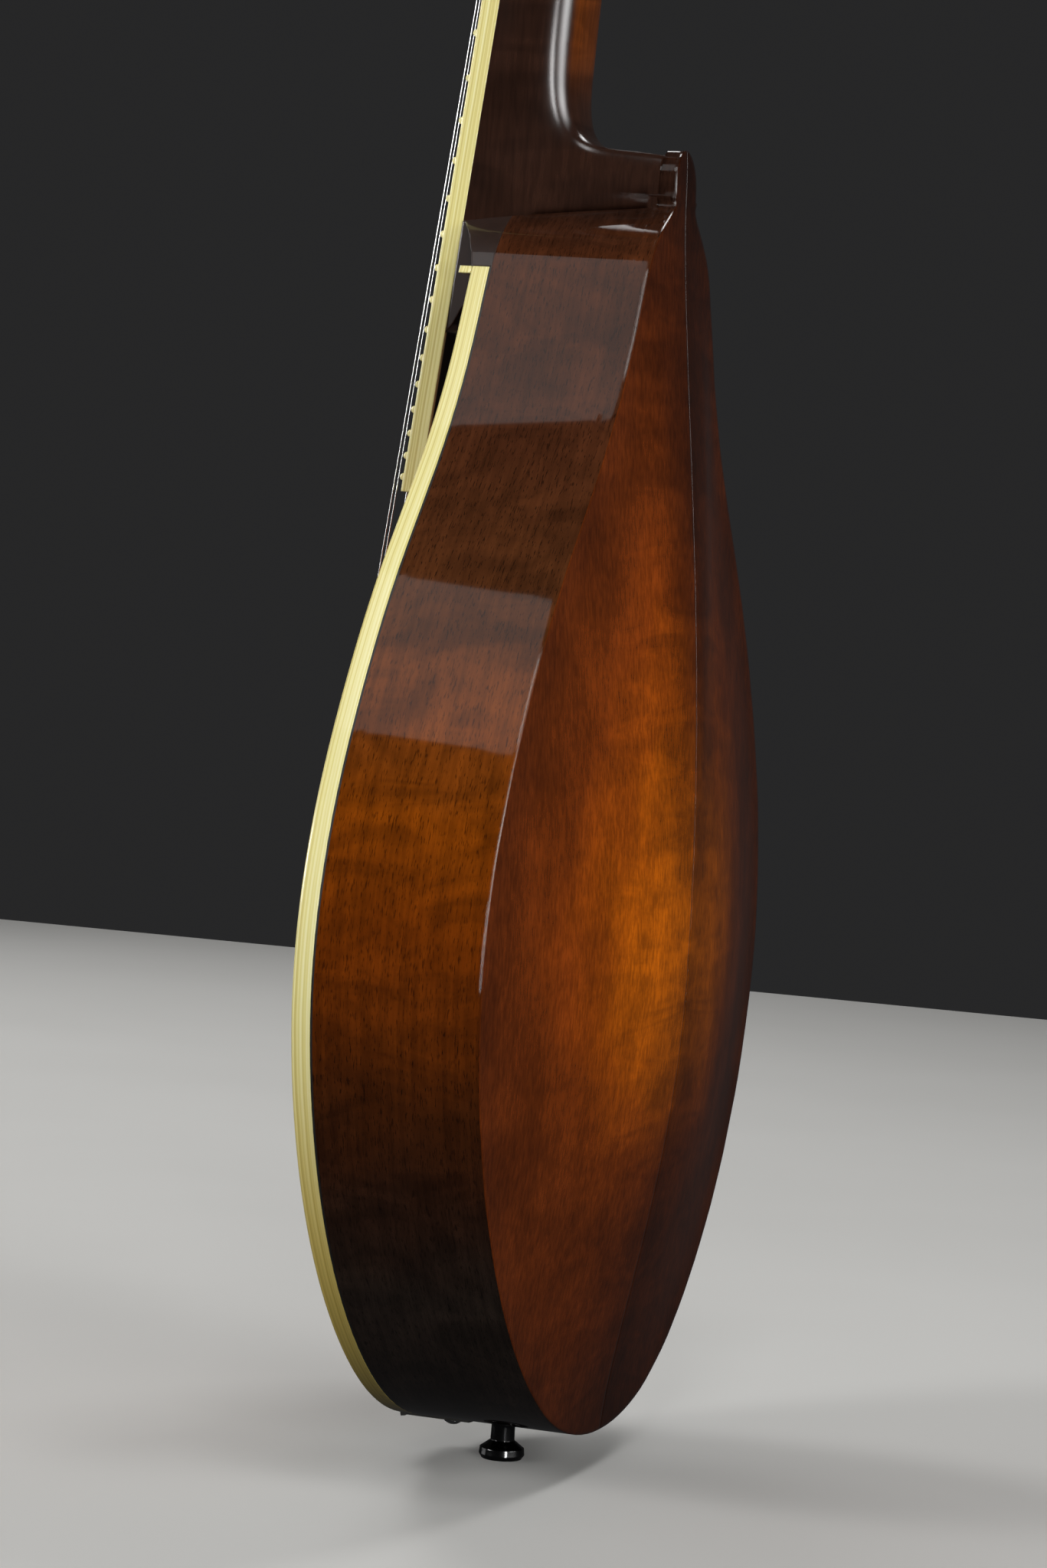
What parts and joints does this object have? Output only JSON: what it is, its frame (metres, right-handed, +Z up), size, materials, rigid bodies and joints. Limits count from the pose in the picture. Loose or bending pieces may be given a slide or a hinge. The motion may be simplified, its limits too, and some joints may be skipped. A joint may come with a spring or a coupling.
{
  "type": "mandolin",
  "caption": "A-style carved-top mandolin with bound top and fretboard, f-holes, geared tuning machines, adjustable bridge and sliding tailpiece cover.",
  "frame": {"origin": "on the strap button's axis where it meets the tail end of the ribs", "axes": "+Z up the neck to the headstock, +X to the treble side, -Y out of the front (top) and +Y out of the back"},
  "size_m": [0.254, 0.1026, 0.6618],
  "materials": {
    "spruce_top": "gloss sunburst lacquer on spruce",
    "maple_back": "gloss sunburst lacquer on flamed maple",
    "maple_ribs": "gloss dark sunburst lacquer on maple",
    "ivoroid_binding": "grained cream ivoroid, polished",
    "black_line": "polished black fibre",
    "lining_wood": "bare wood",
    "maple_neck": "gloss dark brown lacquer on maple",
    "dark_riser": "gloss near-black lacquer",
    "steel_fasteners": "plated steel",
    "black_overlay": "gloss black veneer",
    "ebony_board": "satin ebony",
    "ebony_bridge": "satin ebony",
    "fret_wire": "polished nickel silver",
    "pearl_dots": "mother of pearl",
    "side_dot_black": "black dots",
    "bone_nut": "polished bone",
    "wound_strings": "bronze-wound steel",
    "plain_strings": "plain steel",
    "nickel_hardware": "polished nickel",
    "tuner_keys": "pearloid button on a nickel shaft",
    "tuner_posts": "brass gear, nickel post",
    "brass_bridge_hardware": "polished brass",
    "dark_strap_button": "black nickel"
  },
  "bodies": {
    "instrument": {"top_plate_bass": "spruce_top", "top_plate_treble": "spruce_top", "back_plate_bass": "maple_back", "back_plate_treble": "maple_back", "rib_bass": "maple_ribs", "rib_treble": "maple_ribs", "top_binding_bass": "ivoroid_binding", "top_binding_treble": "ivoroid_binding", "top_binding_line": "black_line", "head_block": "lining_wood", "tail_block": "lining_wood", "linings": "lining_wood", "tone_bar_bass": "spruce_top", "tone_bar_treble": "spruce_top", "neck": "maple_neck", "neck_extension": "dark_riser", "truss_rod": "steel_fasteners", "truss_rod_cover": "black_overlay", "headstock_overlay": "black_overlay", "fretboard": "ebony_board", "fretboard_binding": "ivoroid_binding", "frets": "fret_wire", "fret_markers": "pearl_dots", "side_dots": "side_dot_black", "nut": "bone_nut", "strings_g": "wound_strings", "strings_d": "wound_strings", "strings_a": "plain_strings", "strings_e": "plain_strings", "tuner_plate_bass": "nickel_hardware", "tuner_plate_treble": "nickel_hardware", "headstock_screws": "steel_fasteners", "bushings": "nickel_hardware", "bridge_base": "ebony_bridge", "bridge_studs": "brass_bridge_hardware", "tailpiece_base": "nickel_hardware", "tailpiece_screws": "steel_fasteners", "strap_button": "dark_strap_button", "strap_button_screw": "steel_fasteners"},
    "bridge_saddle": {"bridge_saddle": "ebony_bridge"},
    "thumbwheel_bass": {"thumbwheel_bass": "brass_bridge_hardware"},
    "thumbwheel_treble": {"thumbwheel_treble": "brass_bridge_hardware"},
    "tailpiece_cover": {"tailpiece_cover": "nickel_hardware"},
    "truss_rod_nut": {"truss_rod_nut": "steel_fasteners"},
    "tuner_key_1": {"tuner_key_1": "tuner_keys"},
    "tuner_post_1": {"tuner_post_1": "tuner_posts"},
    "tuner_key_2": {"tuner_key_2": "tuner_keys"},
    "tuner_post_2": {"tuner_post_2": "tuner_posts"},
    "tuner_key_3": {"tuner_key_3": "tuner_keys"},
    "tuner_post_3": {"tuner_post_3": "tuner_posts"},
    "tuner_key_4": {"tuner_key_4": "tuner_keys"},
    "tuner_post_4": {"tuner_post_4": "tuner_posts"},
    "tuner_key_5": {"tuner_key_5": "tuner_keys"},
    "tuner_post_5": {"tuner_post_5": "tuner_posts"},
    "tuner_key_6": {"tuner_key_6": "tuner_keys"},
    "tuner_post_6": {"tuner_post_6": "tuner_posts"},
    "tuner_key_7": {"tuner_key_7": "tuner_keys"},
    "tuner_post_7": {"tuner_post_7": "tuner_posts"},
    "tuner_key_8": {"tuner_key_8": "tuner_keys"},
    "tuner_post_8": {"tuner_post_8": "tuner_posts"}
  },
  "joints": [
    {"name": "bridge_saddle_lift", "type": "slide", "parent": "instrument", "child": "bridge_saddle", "axis": [0, -1, 0], "range_m": [-0.001, 0.003], "deforming": ["strings_g", "strings_d", "strings_a", "strings_e"]},
    {"name": "thumbwheel_bass_turn", "type": "hinge", "parent": "bridge_saddle", "child": "thumbwheel_bass", "pos_m": [-0.036, -0.04481, 0.16117], "axis": [0, -1, 0], "range_deg": [-520, 1550]},
    {"name": "thumbwheel_treble_turn", "type": "hinge", "parent": "bridge_saddle", "child": "thumbwheel_treble", "pos_m": [0.036, -0.04481, 0.16117], "axis": [0, -1, 0], "range_deg": [-520, 1550]},
    {"name": "tailpiece_cover_slide", "type": "slide", "parent": "instrument", "child": "tailpiece_cover", "axis": [0, 0.1478, -0.989], "range_m": [0, 0.038]},
    {"name": "truss_rod_nut_turn", "type": "hinge", "parent": "instrument", "child": "truss_rod_nut", "pos_m": [0, -0.00659, 0.52019], "axis": [0, 0.0931, 0.9957], "range_deg": [-180, 180]},
    {"name": "tuner_key_1_turn", "type": "hinge", "parent": "instrument", "child": "tuner_key_1", "pos_m": [-0.04, 0.01253, 0.53297], "axis": [-1, 0, 0], "continuous": true},
    {"name": "tuner_post_1_turn", "type": "hinge", "parent": "instrument", "child": "tuner_post_1", "pos_m": [-0.0145, -0.00111, 0.54682], "axis": [0, -0.9436, 0.3312], "continuous": true},
    {"name": "tuner_key_2_turn", "type": "hinge", "parent": "instrument", "child": "tuner_key_2", "pos_m": [-0.04, 0.02014, 0.55467], "axis": [-1, 0, 0], "continuous": true},
    {"name": "tuner_post_2_turn", "type": "hinge", "parent": "instrument", "child": "tuner_post_2", "pos_m": [-0.0145, 0.00651, 0.56852], "axis": [0, -0.9436, 0.3312], "continuous": true},
    {"name": "tuner_key_3_turn", "type": "hinge", "parent": "instrument", "child": "tuner_key_3", "pos_m": [-0.04, 0.02776, 0.57637], "axis": [-1, 0, 0], "continuous": true},
    {"name": "tuner_post_3_turn", "type": "hinge", "parent": "instrument", "child": "tuner_post_3", "pos_m": [-0.0145, 0.01413, 0.59022], "axis": [0, -0.9436, 0.3312], "continuous": true},
    {"name": "tuner_key_4_turn", "type": "hinge", "parent": "instrument", "child": "tuner_key_4", "pos_m": [-0.04, 0.03538, 0.59808], "axis": [-1, 0, 0], "continuous": true},
    {"name": "tuner_post_4_turn", "type": "hinge", "parent": "instrument", "child": "tuner_post_4", "pos_m": [-0.0145, 0.02174, 0.61192], "axis": [0, -0.9436, 0.3312], "continuous": true},
    {"name": "tuner_key_5_turn", "type": "hinge", "parent": "instrument", "child": "tuner_key_5", "pos_m": [0.04, 0.03538, 0.59808], "axis": [1, 0, 0], "continuous": true},
    {"name": "tuner_post_5_turn", "type": "hinge", "parent": "instrument", "child": "tuner_post_5", "pos_m": [0.0145, 0.02174, 0.61192], "axis": [0, -0.9436, 0.3312], "continuous": true},
    {"name": "tuner_key_6_turn", "type": "hinge", "parent": "instrument", "child": "tuner_key_6", "pos_m": [0.04, 0.02776, 0.57637], "axis": [1, 0, 0], "continuous": true},
    {"name": "tuner_post_6_turn", "type": "hinge", "parent": "instrument", "child": "tuner_post_6", "pos_m": [0.0145, 0.01413, 0.59022], "axis": [0, -0.9436, 0.3312], "continuous": true},
    {"name": "tuner_key_7_turn", "type": "hinge", "parent": "instrument", "child": "tuner_key_7", "pos_m": [0.04, 0.02014, 0.55467], "axis": [1, 0, 0], "continuous": true},
    {"name": "tuner_post_7_turn", "type": "hinge", "parent": "instrument", "child": "tuner_post_7", "pos_m": [0.0145, 0.00651, 0.56852], "axis": [0, -0.9436, 0.3312], "continuous": true},
    {"name": "tuner_key_8_turn", "type": "hinge", "parent": "instrument", "child": "tuner_key_8", "pos_m": [0.04, 0.01253, 0.53297], "axis": [1, 0, 0], "continuous": true},
    {"name": "tuner_post_8_turn", "type": "hinge", "parent": "instrument", "child": "tuner_post_8", "pos_m": [0.0145, -0.00111, 0.54682], "axis": [0, -0.9436, 0.3312], "continuous": true}
  ],
  "couplings": [
    {"joint": "thumbwheel_bass_turn", "follows": "bridge_saddle_lift", "rad_per_m": 8976},
    {"joint": "thumbwheel_treble_turn", "follows": "bridge_saddle_lift", "rad_per_m": 8976},
    {"joint": "tuner_post_1_turn", "follows": "tuner_key_1_turn", "ratio": 0.0625},
    {"joint": "tuner_post_2_turn", "follows": "tuner_key_2_turn", "ratio": 0.0625},
    {"joint": "tuner_post_3_turn", "follows": "tuner_key_3_turn", "ratio": 0.0625},
    {"joint": "tuner_post_4_turn", "follows": "tuner_key_4_turn", "ratio": 0.0625},
    {"joint": "tuner_post_5_turn", "follows": "tuner_key_5_turn", "ratio": 0.0625},
    {"joint": "tuner_post_6_turn", "follows": "tuner_key_6_turn", "ratio": 0.0625},
    {"joint": "tuner_post_7_turn", "follows": "tuner_key_7_turn", "ratio": 0.0625},
    {"joint": "tuner_post_8_turn", "follows": "tuner_key_8_turn", "ratio": 0.0625}
  ]
}
